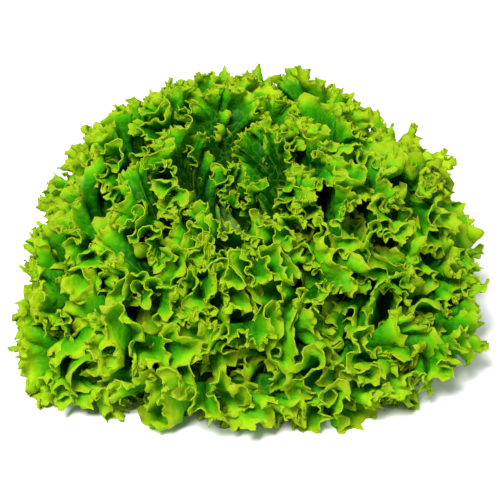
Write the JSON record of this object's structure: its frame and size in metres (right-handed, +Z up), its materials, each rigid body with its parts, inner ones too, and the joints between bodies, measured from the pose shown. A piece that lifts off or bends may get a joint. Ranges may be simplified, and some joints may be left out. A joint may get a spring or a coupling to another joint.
{
  "type": "head of lettuce",
  "caption": "Head of loose, curly-leaved green lettuce: a spiral of frilled leaves on a short cut stem, resting upright on its cut face and outer leaves.",
  "frame": {"origin": "centre of the stem's cut face, on the surface the head rests on", "axes": "+Z up, away from the surface; the heart leans towards -Y, the side that faces the viewer"},
  "size_m": [0.2344, 0.2349, 0.1135],
  "materials": {
    "leaf": "satin",
    "heart_leaf": "satin",
    "stem": "matte"
  },
  "bodies": {
    "root": {"leaf_01": "leaf", "leaf_02": "leaf", "leaf_03": "leaf", "leaf_04": "leaf", "leaf_05": "leaf", "leaf_06": "leaf", "leaf_07": "leaf", "leaf_08": "leaf", "leaf_09": "leaf", "leaf_10": "leaf", "leaf_11": "leaf", "leaf_12": "leaf", "leaf_13": "leaf", "leaf_14": "leaf", "leaf_15": "leaf", "leaf_16": "leaf", "leaf_17": "leaf", "leaf_18": "leaf", "leaf_19": "leaf", "leaf_20": "leaf", "leaf_21": "leaf", "leaf_22": "leaf", "leaf_23": "leaf", "leaf_24": "leaf", "leaf_25": "leaf", "leaf_26": "leaf", "leaf_27": "leaf", "leaf_28": "leaf", "leaf_29": "leaf", "leaf_30": "leaf", "leaf_31": "leaf", "leaf_32": "leaf", "leaf_33": "leaf", "leaf_34": "leaf", "leaf_35": "leaf", "leaf_36": "leaf", "leaf_37": "leaf", "leaf_38": "leaf", "leaf_39": "leaf", "leaf_40": "leaf", "leaf_41": "leaf", "leaf_42": "leaf", "leaf_43": "leaf", "leaf_44": "leaf", "leaf_45": "leaf", "leaf_46": "leaf", "leaf_47": "leaf", "leaf_48": "leaf", "leaf_49": "leaf", "leaf_50": "leaf", "leaf_51": "heart_leaf", "leaf_52": "heart_leaf", "leaf_53": "heart_leaf", "leaf_54": "heart_leaf", "leaf_55": "heart_leaf", "leaf_56": "heart_leaf", "leaf_57": "heart_leaf", "stem": "stem"}
  },
  "joints": []
}
